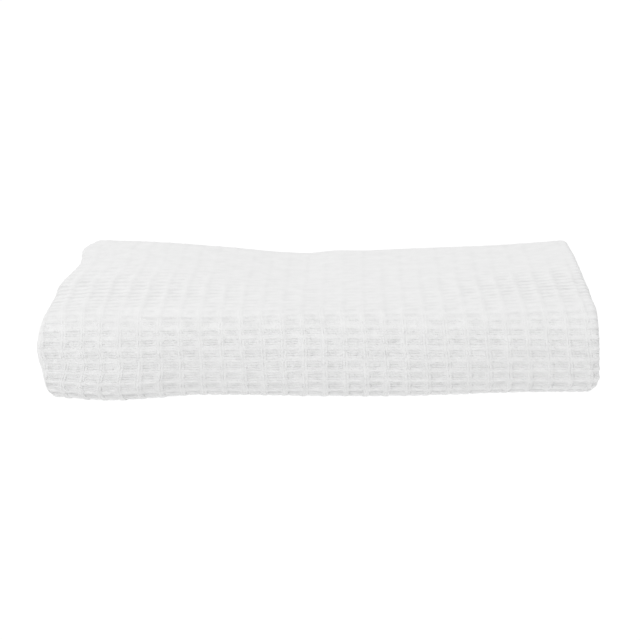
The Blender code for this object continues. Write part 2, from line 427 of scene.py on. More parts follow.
# %% Relief of one cell
CELL_ACROSS = 0.01283
CELL_ALONG = 0.00682
RIBS_FROM = 0.0003                      # the middle rib lies this far right of the panel's middle
ROW_ON_TOP = 0.24470                    # s of one ridge seen on the top, which sets where all lie
RELIEF = 0.00062
RIB_LEFT = 0.20                         # half widths as shares of a cell
RIB_RIGHT = 0.15
RIDGE_UNDER = 0.11
RIDGE_OVER = 0.20
RIB_ROUNDNESS = 3                       # how flat a float's top is; 2 would be a plain bell
RIDGE_ROUNDNESS = 2.3
RIB_HEIGHT = 0.95
CORNER_DIP = 0.12
CORNER_REACH = 0.2
RIDGE_SAG = 0.75                        # how much lower a ridge is half way between its ribs
SAG_REACH = 0.45
FLOOR_OF_CELL = 0.10
FLAT_HEM = 0.015
HEM_STITCH = 0.0125
PLAIN_SELVAGE = 0.0036

ROWS_FROM = along_at(ROW_ON_TOP) % CELL_ALONG
CLOTH_ALONG = ALONG_TABLE[-1]


def bell(distance, half_width):
    return np.exp(-((distance / half_width) ** 2))


def in_cell(distance, pitch):
    """The distance to the nearest thread line, as a share of the pitch from -0.5 to 0.5."""
    share = distance / pitch
    return share - np.round(share)


def woven_height(across, along):
    """The weave's height from 0, the deepest hollow, to 1, the top of a float."""
    a = in_cell(across - RIBS_FROM, CELL_ACROSS)
    b = in_cell(along - ROWS_FROM, CELL_ALONG)
    rib = np.exp(-(np.abs(a / np.where(a > 0, RIB_RIGHT, RIB_LEFT)) ** RIB_ROUNDNESS))
    rib *= RIB_HEIGHT * (1 - CORNER_DIP * bell(b, CORNER_REACH))
    from_middle = 0.5 - np.abs(a)
    ridge = np.exp(-(np.abs(b / np.where(b > 0, RIDGE_OVER, RIDGE_UNDER)) ** RIDGE_ROUNDNESS))
    ridge *= 1 - RIDGE_SAG * eased(from_middle / SAG_REACH)
    return (rib**3 + ridge**3 + FLOOR_OF_CELL**3) ** (1 / 3)


print("waffle rows on the cloth:", round(CLOTH_ALONG / CELL_ALONG))

# %% [markdown]
# ## Uneven as a washed cloth is
#
# No two cells match. The ribs wander a little from side to side, the ridges sag or tip, some floats
# are fuller than others, and the whole weave has been pulled here and there: the ribs spread
# towards the left foot, and the cells nearest the left end are squeezed together. A few soft
# troughs run over the top. The cells stand open round the foot and are pressed nearly flat on top,
# where the threads lie smooth as well.
#
# A cloth simulation would pull the weave too, but not where the real one is pulled. So two pulls
# and a table of pulls say how far each stretch has moved, in millimetres of cloth, set by comparing
# ribs and rows with the real ones. One more table says how open the cells are. The small unevenness
# is drawn from seeded random tables, so the towel comes out the same each time.

# %% Wander, pulls and creases
PATCHES_ASIDE = 60.0                    # keeps every place of the cloth inside the drawn table
PATCHES_BEFORE = 4.0


def uneven(across, along, patch, seed):
    """Soft random values from -1 to 1, with one drawn for every patch of the cloth."""
    i = across / patch[0] + PATCHES_ASIDE
    j = along / patch[1] + PATCHES_BEFORE
    drawn = np.random.default_rng(seed).uniform(-1.0, 1.0, (int(i.max()) + 3, int(j.max()) + 3))
    i0 = np.floor(i).astype(int)
    j0 = np.floor(j).astype(int)
    ti = eased(i - i0)
    tj = eased(j - j0)
    near = drawn[i0, j0] * (1 - ti) + drawn[i0 + 1, j0] * ti
    far = drawn[i0, j0 + 1] * (1 - ti) + drawn[i0 + 1, j0 + 1] * ti
    return near * (1 - tj) + far * tj


WEAVE_PATCH = (CELL_ACROSS, CELL_ALONG)
HALF_PATCH = (CELL_ACROSS / 2, CELL_ALONG)
THREAD_PATCH = (0.0021, 0.0016)

Pull = namedtuple("Pull", "across along wide long sideways")
PULLS = (
    Pull(across=-0.150, along=along_at(0.176), wide=0.060, long=0.016, sideways=-0.0070),
    Pull(across=-0.166, along=along_at(0.204), wide=0.026, long=0.020, sideways=0.0046),
)

# How far the weave is pulled, in mm, at these places across it and at each named row
PULLED_AT = (-0.154, -0.103, -0.051, 0.000, 0.051, 0.103, 0.154)
PulledRow = namedtuple("PulledRow", "row sideways lengthways")
PULLED_ROWS = (
    PulledRow(-16.0, (0.0, 0.0, 0.0, 0.0, 0.0, 0.0, 0.0), (0.0, 0.0, 0.0, 0.0, 0.0, 0.0, 0.0)),
    PulledRow(-10.5, (6.0, 2.4, 1.9, 1.7, 2.4, 3.2, 3.8), (1.0, 0.0, -1.3, 0.5, 0.6, -1.6, -2.9)),
    PulledRow(-8.5, (5.4, 2.0, 1.6, 1.3, 1.9, 3.0, 3.6), (0.4, 0.0, -0.8, 0.9, 0.3, -1.7, -2.8)),
    PulledRow(-6.5, (1.0, 0.7, 0.6, 1.4, 0.8, 1.9, 2.3), (0.8, 0.2, 0.7, 2.0, 1.2, -0.2, -2.2)),
    PulledRow(-4.5, (0.0, -0.4, -0.1, 0.0, 0.3, 1.1, 1.6), (0.6, -1.2, -0.5, 2.1, 0.9, -1.2, -2.2)),
    PulledRow(
        -2.5, (0.0, -1.0, -1.0, -1.1, 0.0, 0.5, 0.4), (-0.6, -5.9, -5.4, -2.0, -1.8, -3.5, -3.2)
    ),
    PulledRow(0.0, (0.0, 0.2, 0.0, 0.0, 0.3, 0.7, 0.4), (-1.6, -4.4, -4.8, -2.2, -3.6, -3.3, -3.0)),
    PulledRow(7.0, (0.0, 0.0, 0.0, 0.0, 0.0, 0.0, 0.0), (0.0, 0.0, 0.0, 0.0, 0.0, 0.0, 0.0)),
)

Trough = namedtuple("Trough", "from_across from_along to_across to_along half_width depth")
TOP = along_at(RUNS[1].start)
TROUGHS = (
    Trough(-0.146, TOP + 0.002, -0.128, TOP + 0.055, 0.0045, 0.00035),
    Trough(-0.134, TOP + 0.000, -0.115, TOP + 0.060, 0.0040, 0.00030),
    Trough(0.010, TOP + 0.070, 0.002, TOP + 0.140, 0.0070, 0.00035),
    Trough(0.128, TOP + 0.015, 0.150, TOP + 0.070, 0.0060, 0.00025),
)


def row_at(along):
    """The number of the row of cells, counted up from the one that the top's edge is set by."""
    return (along - along_at(ROW_ON_TOP)) / CELL_ALONG


def pulled_across(across, along):
    moved = np.zeros_like(across)
    for pull in PULLS:
        near = bell(across - pull.across, pull.wide) * bell(along - pull.along, pull.long)
        moved += pull.sideways * near
    return moved


def pulled_rows(across, along, way):
    """The tabled pull in metres, sideways or lengthways, at each point of the cloth."""
    row = row_at(along)
    stations = np.array(listed(PULLED_ROWS, "row"))
    by_row = np.array(
        [curve_through(across, PULLED_AT, getattr(pulled, way)) for pulled in PULLED_ROWS]
    )
    i = np.clip(np.searchsorted(stations, row) - 1, 0, len(stations) - 2)
    t = eased((row - stations[i]) / (stations[i + 1] - stations[i]))
    point = np.arange(len(row))
    return 0.001 * (by_row[i, point] * (1 - t) + by_row[i + 1, point] * t)


def trough_depth(across, along):
    depth = np.zeros_like(across)
    for trough in TROUGHS:
        run = np.array([trough.to_across - trough.from_across, trough.to_along - trough.from_along])
        length = np.linalg.norm(run)
        ahead = ((across - trough.from_across) * run[0] + (along - trough.from_along) * run[1]) / length
        aside = ((across - trough.from_across) * run[1] - (along - trough.from_along) * run[0]) / length
        beyond = np.maximum(np.maximum(-ahead, ahead - length), 0.0)
        depth += trough.depth * bell(aside, trough.half_width) * bell(beyond, 2 * trough.half_width)
    return depth


# %% How open the cells are, and how loose the threads
SIDE_FOLDS_FROM = 0.1728
SIDE_FOLDS_RISE = 0.003
OPEN_AT_SIDE_FOLDS = 0.75


def at_side_folds(across):
    """0 on the panel, rising to 1 round the folded sides that show at the bundle's ends."""
    return eased((np.abs(across) - SIDE_FOLDS_FROM) / SIDE_FOLDS_RISE)


Open = namedtuple("Open", "row left middle right")
# 0 is pressed flat. The relief grows up to 1.2, and past that only the lines' grooves and painted shade
# and the floats' painted highlight grow
OPEN_CELLS = (
    Open(row=-40, left=0.80, middle=0.80, right=0.80),
    Open(row=-13, left=1.80, middle=1.70, right=1.90),
    Open(row=-11.3, left=1.25, middle=1.15, right=1.40),
    Open(row=-9.5, left=0.84, middle=0.78, right=1.05),
    Open(row=-6, left=0.46, middle=0.46, right=0.62),
    Open(row=-3, left=0.56, middle=0.50, right=0.66),
    Open(row=0, left=1.20, middle=0.48, right=1.00),
    Open(row=2, left=1.75, middle=0.44, right=1.80),
    Open(row=6, left=1.25, middle=0.20, right=1.70),
    Open(row=10, left=0.42, middle=0.14, right=0.50),
    Open(row=14, left=0.22, middle=0.14, right=0.16),
    Open(row=19, left=0.24, middle=0.20, right=0.18),
    Open(row=23, left=0.80, middle=0.80, right=0.80),
)


LEFT_BLEND = 0.150
RIGHT_BLEND_FROM = 0.040
RIGHT_BLEND = 0.125


def openness(across, along):
    """How open the cells are: pressed nearly flat on the top, and full round the foot."""
    rows = listed(OPEN_CELLS, "row")
    left, mid, right = (
        curve_through(row_at(along), rows, listed(OPEN_CELLS, place))
        for place in ("left", "middle", "right")
    )
    at_left = eased(-across / LEFT_BLEND)
    at_right = eased((across - RIGHT_BLEND_FROM) / RIGHT_BLEND)
    open_cells = mid + (left - mid) * at_left + (right - mid) * at_right
    return np.maximum(open_cells, OPEN_AT_SIDE_FOLDS * at_side_folds(across))


NAP_ON_TOP = 0.12
NAP_FRONT_ROW = 3.0                     # the nap rises from this row down, over this many rows
NAP_FRONT_ROWS = 11
NAP_BACK_ROW = 22.0
NAP_BACK_ROWS = 2.5
NAP_ROUND_FOLDS = 0.6


def nap_left(across, along):
    """How loose the threads are: raised round the folds, and pressed smooth on the top."""
    row = row_at(along)
    round_front = eased((NAP_FRONT_ROW - row) / NAP_FRONT_ROWS)
    round_back = NAP_ROUND_FOLDS * eased((row - NAP_BACK_ROW) / NAP_BACK_ROWS)
    round_sides = NAP_ROUND_FOLDS * at_side_folds(across)
    raised = np.maximum(round_front, np.maximum(round_back, round_sides))
    return NAP_ON_TOP + (1 - NAP_ON_TOP) * raised


# %% The relief's whole depth
RIB_WANDER = 0.00060
ROW_WANDER = 0.00085
FULLER_OR_THINNER = 0.30
PLAIN_WEAVE = 0.55                      # the height of the hems and selvages, which have no cells
STITCH_WIDTH = 0.0009
STITCH_DEPTH = 0.0004
ROUGHNESS = 0.00006
PROUD = 0.00015
PROUD_OUTSIDE = 0.00030                 # more where the cloth lies outside, from row -16 to row 22
OUTSIDE_ROWS = (-16, 22)
OUTSIDE_FADE = 3
MOST_OPEN = 1.2


def relief_depth(across, along):
    """How far the outer face lies under the tops of the fullest floats."""
    sideways = RIB_WANDER * uneven(across, along, WEAVE_PATCH, seed=11)
    lengthways = ROW_WANDER * uneven(across, along, HALF_PATCH, seed=12)
    height = woven_height(across + sideways, along + lengthways)
    fullness = 1.0 + FULLER_OR_THINNER * uneven(across, along, WEAVE_PATCH, seed=13)
    height = np.clip(height * fullness, 0.0, 1.0)
    to_hem = np.minimum(along, CLOTH_ALONG - along)
    to_selvage = np.minimum(across - ACROSS_TABLE[0], ACROSS_TABLE[-1] - across)
    plain = (to_hem < FLAT_HEM) | (to_selvage < PLAIN_SELVAGE)
    height = np.where(plain, PLAIN_WEAVE, height)
    stitch = bell(to_hem - HEM_STITCH, STITCH_WIDTH)
    rough = ROUGHNESS * uneven(across, along, THREAD_PATCH, seed=14)
    row = row_at(along)
    past_foot = eased((row - OUTSIDE_ROWS[0]) / OUTSIDE_FADE)
    outside = past_foot * eased((OUTSIDE_ROWS[1] - row) / OUTSIDE_FADE)
    proud = PROUD + PROUD_OUTSIDE * outside
    hollow = RELIEF * np.minimum(openness(across, along), MOST_OPEN) * (1 - height)
    return hollow + STITCH_DEPTH * stitch + trough_depth(across, along) + rough - proud


print("cells across the panel:", round(PANEL_WIDTH / CELL_ACROSS, 1))

# %% [markdown]
# ## The cloth as cut
#
# The sheet starts as a flat grid with a line at every rib and every ridge, thickened by solidify.
# Only what shows is made fine: the front turn, the top, the two loops at the back and, less so,
# the folded edges at the ends. The rest stays one face to a cell, out of sight between the layers.
# Fine lines are drawn a little towards the ribs and ridges, where the relief is steepest.

# %% Flat grid
VISIBLE_CUTS = 6
EDGE_CUTS = 2
DRAWN_IN = 0.45
EDGE_STATIONS = (0.1732, 0.17885, 0.1845)
EDGE_END = EDGE_STATIONS[-1]
HIDDEN_FACES = 4
RIBS_EACH_SIDE = 13
WHOLE_CELL = 5.0e-6                     # square metres; the faces that are cut already are smaller


def lines_across():
    ribs = [RIBS_FROM + CELL_ACROSS * k for k in range(-RIBS_EACH_SIDE, RIBS_EACH_SIDE + 1)]
    right = list(EDGE_STATIONS) + list(np.linspace(EDGE_END, ACROSS_TABLE[-1], HIDDEN_FACES + 1)[1:])
    left = [-place for place in EDGE_STATIONS]
    left += list(np.linspace(-EDGE_END, ACROSS_TABLE[0], HIDDEN_FACES + 1)[1:])
    return np.array(sorted(left + ribs + right))


def lines_along():
    rows = np.arange(ROWS_FROM, CLOTH_ALONG, CELL_ALONG)
    if rows[0] < CELL_ALONG / 3:
        rows = rows[1:]
    if CLOTH_ALONG - rows[-1] < CELL_ALONG / 3:
        rows = rows[:-1]
    return np.concatenate([[0.0], rows, [CLOTH_ALONG]])


def shown(along):
    """The stretches of cloth that lie outside: the front turn and the top, then two back loops."""
    margin = CELL_ALONG
    spans = ((RUNS[0].start + RUNS[0].length, TURNS[1].start + TURNS[1].length),
             (TURNS[3].start, TURNS[3].start + TURNS[3].length))
    return any(along_at(a) - margin < along < along_at(b) + margin for a, b in spans)


def cut_up(bm, faces, cuts):
    edges = {edge for face in faces for edge in face.edges}
    bmesh.ops.subdivide_edges(bm, edges=list(edges), cuts=cuts, use_grid_fill=True)


def flat_cloth():
    across = lines_across()
    along = lines_along()
    columns = len(across) - 1
    rows = len(along) - 1
    bm = bmesh.new()
    bmesh.ops.create_grid(bm, x_segments=columns, y_segments=rows, size=0.5)
    for vertex in bm.verts:
        u = across[round((vertex.co.x + 0.5) * columns)]
        s = along[round((vertex.co.y + 0.5) * rows)]
        vertex.co = (u, s, SHEET / 2)
    bmesh.ops.solidify(bm, geom=bm.faces[:], thickness=SHEET)
    bm.normal_update()
    outer = [face for face in bm.faces if face.normal.z > 0.5]
    near = [face for face in outer if abs(face.calc_center_median().x) < EDGE_END]
    fine = [face for face in near if shown(face.calc_center_median().y)]
    cut_up(bm, fine, VISIBLE_CUTS)
    bm.faces.ensure_lookup_table()
    edges = []
    for face in bm.faces:
        middle = face.calc_center_median()
        if len(face.verts) == 4 and face.normal.z > 0.5 and face.calc_area() > WHOLE_CELL:
            past_ribs = abs(middle.x - RIBS_FROM) > CELL_ACROSS * RIBS_EACH_SIDE
            if past_ribs and abs(middle.x) < EDGE_END:
                edges.append(face)
    cut_up(bm, edges, EDGE_CUTS)
    bmesh.ops.triangulate(bm, faces=[face for face in bm.faces if len(face.verts) > 4])
    return bm


def drawn_to_threads(place, pitch, offset):
    return place - DRAWN_IN * pitch / (2 * math.pi) * np.sin(2 * math.pi * (place - offset) / pitch)


# %% Weave it, then fold it
ON_HEM = 1e-6


def woven_and_folded(bm):
    """The places of all points in the bundle, where each lies on the cloth, and how it is there."""
    flat = np.array([vertex.co for vertex in bm.verts])
    across = drawn_to_threads(flat[:, 0], CELL_ACROSS, RIBS_FROM)
    along = drawn_to_threads(flat[:, 1], CELL_ALONG, ROWS_FROM)
    across = np.where(np.abs(flat[:, 0]) < EDGE_END, across, flat[:, 0])
    on_hem_edge = (flat[:, 1] <= ON_HEM) | (flat[:, 1] >= CLOTH_ALONG - ON_HEM)
    along = np.where(on_hem_edge, flat[:, 1], along)
    outer = flat[:, 2] > 0
    depth = relief_depth(across, along)
    h = np.where(outer, SHEET / 2 - depth, -SHEET / 2)
    u = u_at(across + pulled_across(across, along) + pulled_rows(across, along, "sideways"))
    s = s_at(along + pulled_rows(across, along, "lengthways"))
    x, y, z = folded(u, s, h)
    surface = {
        "hollow": np.clip(np.where(outer, depth / RELIEF, 1.0), 0, 1),
        "openness": openness(across, along),
        "nap": nap_left(across, along),
    }
    return np.stack([x, y, z], axis=1), across, along, surface


bm = flat_cloth()
places, cloth_across, cloth_along, surface = woven_and_folded(bm)
low, high = (np.array(corner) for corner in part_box("towel"))
middle = (places.min(axis=0) + places.max(axis=0)) / 2
places[:, 0] += (low[0] + high[0]) / 2 - middle[0]
places[:, 1] += (low[1] + high[1]) / 2 - middle[1]
places[:, 2] += low[2] - places[:, 2].min()
for vertex, place in zip(bm.verts, places):
    vertex.co = place
mesh = bpy.data.meshes.new("folded_waffle_towel")
bm.to_mesh(mesh)
bm.free()
mesh.shade_smooth()
towel = bpy.data.objects.new("folded_waffle_towel", mesh)
bpy.context.scene.collection.objects.link(towel)

corner_points = np.empty(len(mesh.loops), int)
mesh.loops.foreach_get("vertex_index", corner_points)
uv = mesh.uv_layers.new(name="cloth")
flat_places = np.stack([cloth_across[corner_points], cloth_along[corner_points]], axis=1)
uv.data.foreach_set("uv", flat_places.ravel())
for name, values in surface.items():
    mesh.attributes.new(name, "FLOAT", "POINT").data.foreach_set("value", values)
mesh.calc_loop_triangles()
print("triangles:", len(mesh.loop_triangles), "box, mm:",
      [[round(1000 * v, 1) for v in corner] for corner in (places.min(axis=0), places.max(axis=0))])

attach(towel, "root")
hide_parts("towel")

# %% [markdown]
# ## White cotton
#
# Soft twisted cotton scatters light widely, so it is nearly as bright from every side, with a faint
# halo of loose fibre at grazing angles: a rough surface, a typical IOR of 1.47 for cellulose, low
# specular and a little rough sheen. The relief makes the cells. The material adds what is too fine
# for it: the warp threads on the ribs, the weft picks across the hollows, the grooved line beside
# each float, tangled threads and fuzz.
#
# The threads could be real geometry, but thousands of them would be hidden under each other. Here
# they are a height pattern on the flat cloth's own measure, so they follow every fold. The lines
# and hollows are also painted a shade greyer, as painted shade for the shade under the floats, and
# the floats and ribs are painted lighter, as painted highlight where light falls on them.

# %% Cotton
def linear(hex_colour):
    """An sRGB colour such as #F2F2F2 as the linear RGBA that a shader socket takes."""
    values = [int(hex_colour[i : i + 2], 16) / 255 for i in (1, 3, 5)]
    return [v / 12.92 if v <= 0.04045 else ((v + 0.055) / 1.055) ** 2.4 for v in values] + [1.0]


def add_node(tree, kind, links=None, **settings):
    """One node with its settings. Each socket is linked to a node or socket, or set to a value."""
    node = tree.nodes.new(kind)
    for name, value in settings.items():
        setattr(node, name, value)
    for place, value in (links or {}).items():
        if isinstance(value, bpy.types.Node):
            value = value.outputs[0]
        if isinstance(value, bpy.types.NodeSocket):
            tree.links.new(value, node.inputs[place])
        else:
            node.inputs[place].default_value = value
    return node


MATHS = "ShaderNodeMath"
VECTORS = "ShaderNodeVectorMath"
NOISE = "ShaderNodeTexNoise"


def bell_of(tree, distance, half_width):
    """The relief's bell curve, worked out by nodes."""
    share = add_node(tree, MATHS, {0: distance, 1: half_width}, operation="DIVIDE")
    squared = add_node(tree, MATHS, {0: share, 1: share}, operation="MULTIPLY")
    lowered = add_node(tree, MATHS, {0: squared, 1: -1.0}, operation="MULTIPLY")
    return add_node(tree, MATHS, {0: lowered}, operation="EXPONENT")


def to_nearest(tree, place, pitch, offset):
    """The signed distance to the nearest thread line as a share of the pitch."""
    start = add_node(tree, MATHS, {0: place, 1: offset}, operation="SUBTRACT")
    share = add_node(tree, MATHS, {0: start, 1: pitch}, operation="DIVIDE")
    nearest = add_node(tree, MATHS, {0: share}, operation="ROUND")
    return add_node(tree, MATHS, {0: share, 1: nearest}, operation="SUBTRACT")


# %% Where a point lies in its cell
SWAYS_A_METRE = 260.0                   # noise scales are waves a metre: one sway in 4 mm
SWAY = (0.0010, 0.0008, 0.0)            # up to half a millimetre to each side


def places_in_cell(tree, cloth):
    """How far each point is from its rib and its ridge, swayed as threads are, and its place along."""
    wander = add_node(tree, NOISE, {"Vector": cloth, "Scale": SWAYS_A_METRE, "Detail": 1.0})
    middle = (0.5, 0.5, 0.5)
    sway = add_node(tree, VECTORS, {0: wander.outputs["Color"], 1: middle}, operation="SUBTRACT")
    swayed = add_node(tree, VECTORS, {0: sway, 1: SWAY, 2: cloth}, operation="MULTIPLY_ADD")
    parts = add_node(tree, "ShaderNodeSeparateXYZ", {0: swayed})
    a = to_nearest(tree, parts.outputs[0], CELL_ACROSS, RIBS_FROM)
    b = to_nearest(tree, parts.outputs[1], CELL_ALONG, float(ROWS_FROM))
    return a, b, parts.outputs[1]


# %% Threads
WARP_THREAD = 0.00190                   # drawn thick, so that they show at this size
WEFT_THREAD = 0.00165
RIB_LINE = 0.20                         # where the line beside a rib runs, as a share of a cell
FLOAT_MIDDLE = 0.08                     # a ridge's float is smooth, with its middle here
FLOAT_REACH = 0.25


def thread_pattern(tree, a, b, along, on_rib):
    """Round threads side by side: warp on the ribs, weft between them, fainter on the floats."""
    from_line = add_node(tree, MATHS, {0: a, 1: RIB_LINE}, operation="SUBTRACT")
    turn = CELL_ACROSS * math.pi / WARP_THREAD
    warp_angle = add_node(tree, MATHS, {0: from_line, 1: turn}, operation="MULTIPLY")
    warp_wave = add_node(tree, MATHS, {0: warp_angle}, operation="SINE")
    warp = add_node(tree, MATHS, {0: warp_wave}, operation="ABSOLUTE")
    weft_angle = add_node(tree, MATHS, {0: along, 1: math.pi / WEFT_THREAD}, operation="MULTIPLY")
    weft_wave = add_node(tree, MATHS, {0: weft_angle}, operation="SINE")
    weft = add_node(tree, MATHS, {0: weft_wave}, operation="ABSOLUTE")
    off_rib = add_node(tree, MATHS, {0: 1.0, 1: on_rib}, operation="SUBTRACT")
    on_ribs = add_node(tree, MATHS, {0: warp, 1: on_rib}, operation="MULTIPLY")
    threads = add_node(tree, MATHS, {0: weft, 1: off_rib, 2: on_ribs}, operation="MULTIPLY_ADD")
    past_middle = add_node(tree, MATHS, {0: b, 1: FLOAT_MIDDLE}, operation="SUBTRACT")
    on_float = bell_of(tree, past_middle, FLOAT_REACH)
    shown = add_node(tree, MATHS, {0: on_float, 1: -0.5, 2: 1.0}, operation="MULTIPLY_ADD")
    return add_node(tree, MATHS, {0: threads, 1: shown}, operation="MULTIPLY")


# %% Lines: grooves in the bump, and painted shade in the colour
# Widths and strengths are pairs: for cloth pressed smooth, and the change to cloth with loose threads
ROW_LINE = 0.22                         # how far under a ridge its line runs
ROW_LINE_WIDTH = (0.18, -0.11)
RIB_LINE_WIDTH = (0.15, -0.12)
RIB_LINE_OPEN = (0.35, 0.65)
# On the pressed top, the line beside each rib is painted shade for its shaded side
RIB_LINE_PRESSED = (0.30, -0.30)
LINE_STOPS_AT = 0.10                    # a rib's line stops where a ridge crosses it
LINE_STOPS_WIDTH = 0.22
OPEN_OVER_RIBS = 2.0                    # at this openness the row lines run on over the ribs


def by_nap(tree, nap, pair):
    smooth, change = pair
    return add_node(tree, MATHS, {0: nap, 1: change, 2: smooth}, operation="MULTIPLY_ADD")


def line_pattern(tree, a, b, on_rib, open_cells, nap):
    """1 in the lines under the ridges and beside the ribs, cut as grooves and painted as shade, 0 away
    from them.
    """
    under_ridge = add_node(tree, MATHS, {0: b, 1: ROW_LINE}, operation="ADD")
    row_line = bell_of(tree, under_ridge, by_nap(tree, nap, ROW_LINE_WIDTH))
    closed = add_node(
        tree, MATHS, {0: OPEN_OVER_RIBS, 1: open_cells}, operation="SUBTRACT", use_clamp=True
    )
    on_full_rib = add_node(tree, MATHS, {0: on_rib, 1: closed}, operation="MULTIPLY")
    off_full_rib = add_node(tree, MATHS, {0: 1.0, 1: on_full_rib}, operation="SUBTRACT")
    row_line_off_ribs = add_node(tree, MATHS, {0: row_line, 1: off_full_rib}, operation="MULTIPLY")
    row_lines = add_node(tree, MATHS, {0: row_line_off_ribs, 1: open_cells}, operation="MULTIPLY")
    beside = add_node(tree, MATHS, {0: a, 1: RIB_LINE}, operation="SUBTRACT")
    rib_line = bell_of(tree, beside, by_nap(tree, nap, RIB_LINE_WIDTH))
    over_ridge = add_node(tree, MATHS, {0: b, 1: LINE_STOPS_AT}, operation="SUBTRACT")
    stopped = bell_of(tree, over_ridge, LINE_STOPS_WIDTH)
    past_ridge = add_node(tree, MATHS, {0: 1.0, 1: stopped}, operation="SUBTRACT")
    open_past = add_node(tree, MATHS, {0: past_ridge, 1: open_cells}, operation="MULTIPLY")
    strength = by_nap(tree, nap, RIB_LINE_OPEN)
    pressed = by_nap(tree, nap, RIB_LINE_PRESSED)
    in_all = add_node(tree, MATHS, {0: open_past, 1: strength, 2: pressed}, operation="MULTIPLY_ADD")
    rib_lines = add_node(tree, MATHS, {0: rib_line, 1: in_all}, operation="MULTIPLY")
    return add_node(tree, MATHS, {0: row_lines, 1: rib_lines}, operation="MAXIMUM")


# %% Height of the fine pattern
THREAD_HEIGHT = 0.00074
TANGLE_HEIGHT = 0.00072
LINE_DEPTH = 0.00028
FUZZ_HEIGHT = 0.00013
FUZZ_ON_TOP = 0.3                       # the share of fuzz that is left where the cloth is pressed
FULLER_THREADS_A_METRE = 320.0          # one change in 3 mm
TANGLES_A_METRE = 480.0                 # 2 mm across the cloth and 1 mm along it
TANGLE_STRETCH = (1.0, 1.9, 1.0)
FUZZ_A_METRE = 1500.0                   # 0.7 mm, and finer


def height_pattern(tree, cloth, threads, line, nap):
    """The height in metres of threads, tangle and fuzz, with the lines cut into them as grooves."""
    fuller = {"Vector": cloth, "Scale": FULLER_THREADS_A_METRE, "Detail": 1.0}
    fullness = add_node(tree, NOISE, fuller)
    loose = add_node(tree, MATHS, {0: nap, 1: nap}, operation="MULTIPLY")
    full = add_node(tree, MATHS, {0: threads, 1: fullness}, operation="MULTIPLY")
    full = add_node(tree, MATHS, {0: full, 1: loose}, operation="MULTIPLY")
    longer = add_node(tree, VECTORS, {0: cloth, 1: TANGLE_STRETCH}, operation="MULTIPLY")
    tangle = add_node(tree, NOISE, {"Vector": longer, "Scale": TANGLES_A_METRE, "Detail": 1.5})
    tangled = add_node(tree, MATHS, {0: tangle, 1: loose}, operation="MULTIPLY")
    fine = {"Vector": cloth, "Scale": FUZZ_A_METRE, "Detail": 3.0, "Roughness": 0.6}
    fuzz = add_node(tree, NOISE, fine)
    fuzz_height = by_nap(tree, nap, (FUZZ_ON_TOP * FUZZ_HEIGHT, FUZZ_HEIGHT))
    loose_line = add_node(tree, MATHS, {0: line, 1: nap}, operation="MULTIPLY")
    height = add_node(tree, MATHS, {0: loose_line, 1: -LINE_DEPTH}, operation="MULTIPLY")
    for part, depth in ((full, THREAD_HEIGHT), (fuzz, fuzz_height), (tangled, TANGLE_HEIGHT)):
        height = add_node(tree, MATHS, {0: part, 1: depth, 2: height}, operation="MULTIPLY_ADD")
    return height


# %% Painted shade and painted highlight of the cotton
COTTON_TOP = "#EEEEEE"                  # bleached cotton; the painted highlight on floats and ribs mixes towards it
COTTON_IN_PAINTED_SHADE = "#CBCBCB"                 # the same cotton in painted shade, for hollows, lines and looser cloth
TONE_AND_PAINTED_SHADE = (0.33, 0.14)           # the cotton's own tone for pressed cloth, and painted shade added on loose threads
PAINTED_SHADE_IN_HOLLOW = 0.05
PAINTED_SHADE_IN_LINE = 0.34
# Painted highlight along each rib, where light falls on it
PAINTED_HIGHLIGHT_ON_RIB = 0.10
PAINTED_HIGHLIGHT_ON_FLOAT = 0.32                     # a painted highlight, the brightest spot of a cell, on the float of its ridge
HIGHLIGHT_AT = 0.15
HIGHLIGHT_ALONG = 0.13
HIGHLIGHT_ACROSS = 0.21


def painted_shade_pattern(tree, a, b, on_rib, line, open_cells, nap, patchy):
    """0 for the brightest cotton, 1 for the deepest: painted shade, less painted highlight, times
    patches.
    """
    in_hollow = add_node(tree, "ShaderNodeAttribute", attribute_name="hollow").outputs["Fac"]
    # Painted highlight: a bright spot on each ridge's float, and a lighter band along each rib
    aside = add_node(tree, MATHS, {0: a}, operation="ABSOLUTE")
    from_middle = add_node(tree, MATHS, {0: 0.5, 1: aside}, operation="SUBTRACT")
    from_float = add_node(tree, MATHS, {0: b, 1: HIGHLIGHT_AT}, operation="SUBTRACT")
    along_float = bell_of(tree, from_float, HIGHLIGHT_ALONG)
    across_float = bell_of(tree, from_middle, HIGHLIGHT_ACROSS)
    highlight_spot = add_node(tree, MATHS, {0: along_float, 1: across_float}, operation="MULTIPLY")
    loose_rib = add_node(tree, MATHS, {0: on_rib, 1: nap}, operation="MULTIPLY")
    rib = add_node(tree, MATHS, {0: loose_rib, 1: PAINTED_HIGHLIGHT_ON_RIB}, operation="MULTIPLY")
    painted_highlight = add_node(tree, MATHS, {0: highlight_spot, 1: PAINTED_HIGHLIGHT_ON_FLOAT, 2: rib}, operation="MULTIPLY_ADD")
    painted_highlight = add_node(tree, MATHS, {0: painted_highlight, 1: open_cells}, operation="MULTIPLY")
    # Painted shade: more on loose threads, in the hollows, and in the lines under ridges and beside
    # ribs
    patchy_painted_shade = by_nap(tree, nap, TONE_AND_PAINTED_SHADE)
    for part, depth in ((in_hollow, PAINTED_SHADE_IN_HOLLOW), (line, PAINTED_SHADE_IN_LINE)):
        patchy_painted_shade = add_node(tree, MATHS, {0: part, 1: depth, 2: patchy_painted_shade}, operation="MULTIPLY_ADD")
    patchy_painted_shade = add_node(tree, MATHS, {0: patchy_painted_shade, 1: painted_highlight}, operation="SUBTRACT")
    return add_node(tree, MATHS, {0: patchy_painted_shade, 1: patchy}, operation="MULTIPLY", use_clamp=True)


# %% White waffle cotton
RIB_WIDTH = 0.16                        # half width of the warp threads' band, as a share of a cell
PATCHES_A_METRE = 110.0                 # soft patches of 9 mm, as washing leaves


